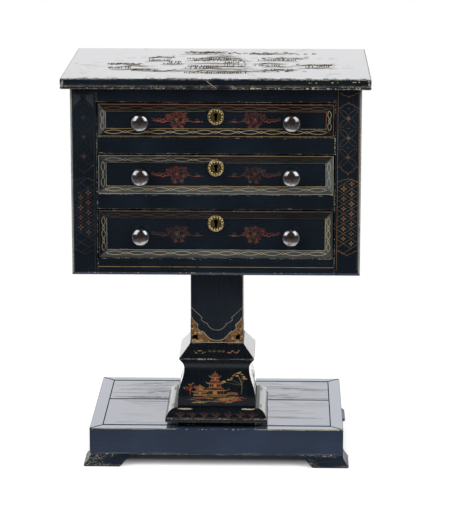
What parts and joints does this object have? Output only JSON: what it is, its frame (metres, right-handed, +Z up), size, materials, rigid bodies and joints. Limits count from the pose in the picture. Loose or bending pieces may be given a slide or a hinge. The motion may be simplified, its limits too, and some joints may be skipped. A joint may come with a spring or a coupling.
{
  "type": "work table",
  "caption": "Black lacquered pedestal work table: a case of graduated locking drawers on a square column and vase base, on a low framed platform with splayed bracket feet.",
  "frame": {"origin": "on the floor, under the middle of the table top, which is also the middle of the whole table", "axes": "+Z up, -Y the drawer front, +X to the right seen from the front"},
  "size_m": [0.575, 0.414, 0.756],
  "materials": {
    "black_lacquer": "glossy worn lacquer",
    "drawer_wood": "bare planed softwood",
    "polished_knob": "polished, tarnished in spots",
    "brass": "aged",
    "steel": "brushed"
  },
  "bodies": {
    "case": {"back_left_foot": "black_lacquer", "back_panel": "black_lacquer", "back_right_foot": "black_lacquer", "bottom_rail": "black_lacquer", "case_bottom": "drawer_wood", "front_left_foot": "black_lacquer", "front_right_foot": "black_lacquer", "left_guide_board": "drawer_wood", "left_side_panel": "black_lacquer", "left_stile": "black_lacquer", "lower_divider_rail": "black_lacquer", "lower_dust_board": "drawer_wood", "pedestal_base_moulding": "black_lacquer", "pedestal_column": "black_lacquer", "pedestal_vase": "black_lacquer", "platform_back_rail": "black_lacquer", "platform_front_rail": "black_lacquer", "platform_left_end": "black_lacquer", "platform_panel": "black_lacquer", "platform_right_end": "black_lacquer", "right_guide_board": "drawer_wood", "right_side_panel": "black_lacquer", "right_stile": "black_lacquer", "table_top": "black_lacquer", "top_rail": "black_lacquer", "upper_divider_rail": "black_lacquer", "upper_dust_board": "drawer_wood"},
    "drawer_1": {"drawer_1_back": "drawer_wood", "drawer_1_bottom": "drawer_wood", "drawer_1_escutcheon": "brass", "drawer_1_front": "black_lacquer", "drawer_1_front_moulding": "black_lacquer", "drawer_1_left_knob": "polished_knob", "drawer_1_left_side": "drawer_wood", "drawer_1_lock": "brass", "drawer_1_right_knob": "polished_knob", "drawer_1_right_side": "drawer_wood"},
    "bolt_1": {"drawer_1_lock_bolt": "steel"},
    "drawer_2": {"drawer_2_back": "drawer_wood", "drawer_2_bottom": "drawer_wood", "drawer_2_escutcheon": "brass", "drawer_2_front": "black_lacquer", "drawer_2_front_moulding": "black_lacquer", "drawer_2_left_knob": "polished_knob", "drawer_2_left_side": "drawer_wood", "drawer_2_lock": "brass", "drawer_2_right_knob": "polished_knob", "drawer_2_right_side": "drawer_wood"},
    "bolt_2": {"drawer_2_lock_bolt": "steel"},
    "drawer_3": {"drawer_3_back": "drawer_wood", "drawer_3_bottom": "drawer_wood", "drawer_3_escutcheon": "brass", "drawer_3_front": "black_lacquer", "drawer_3_front_moulding": "black_lacquer", "drawer_3_left_knob": "polished_knob", "drawer_3_left_side": "drawer_wood", "drawer_3_lock": "brass", "drawer_3_right_knob": "polished_knob", "drawer_3_right_side": "drawer_wood"},
    "bolt_3": {"drawer_3_lock_bolt": "steel"}
  },
  "joints": [
    {"name": "drawer_1_slide", "type": "slide", "parent": "case", "child": "drawer_1", "axis": [0, -1, 0], "range_m": [0, 0.26]},
    {"name": "drawer_1_bolt_throw", "type": "slide", "parent": "drawer_1", "child": "bolt_1", "axis": [0, 0, 1], "range_m": [0, 0.007]},
    {"name": "drawer_2_slide", "type": "slide", "parent": "case", "child": "drawer_2", "axis": [0, -1, 0], "range_m": [0, 0.26]},
    {"name": "drawer_2_bolt_throw", "type": "slide", "parent": "drawer_2", "child": "bolt_2", "axis": [0, 0, 1], "range_m": [0, 0.007]},
    {"name": "drawer_3_slide", "type": "slide", "parent": "case", "child": "drawer_3", "axis": [0, -1, 0], "range_m": [0, 0.26]},
    {"name": "drawer_3_bolt_throw", "type": "slide", "parent": "drawer_3", "child": "bolt_3", "axis": [0, 0, 1], "range_m": [0, 0.007]}
  ]
}
